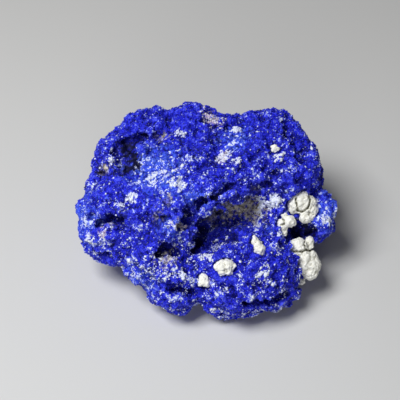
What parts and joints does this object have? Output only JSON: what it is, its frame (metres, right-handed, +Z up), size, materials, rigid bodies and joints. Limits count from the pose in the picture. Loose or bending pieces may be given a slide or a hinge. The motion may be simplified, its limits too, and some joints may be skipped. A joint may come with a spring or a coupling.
{
  "type": "azurite nodule specimen",
  "caption": "Loose nodule of fine azurite crystals with pale clay lodged in its hollows, for display on a flat surface.",
  "frame": {"origin": "middle of the footprint's box, on the plane that the nodule rests on", "axes": "+Z up, the shortest way; +X along the longest way, to the right; -Y the front, where the clay shows"},
  "size_m": [0.0472, 0.037, 0.0271],
  "materials": {
    "azurite": "drusy azurite, a crust of tiny deep blue crystals with a vitreous glint",
    "clay": "pale kaolin-type clay, dull and powdery",
    "dusting": "thin films and grains of the same clay on the azurite"
  },
  "bodies": {
    "root": {"azurite_nodule": "azurite", "clay_upper_right": "clay", "clay_small_right": "clay", "clay_lower_right": "clay", "clay_middle": "clay", "clay_front_large": "clay", "clay_front_small": "clay", "clay_top": "clay"}
  },
  "joints": []
}
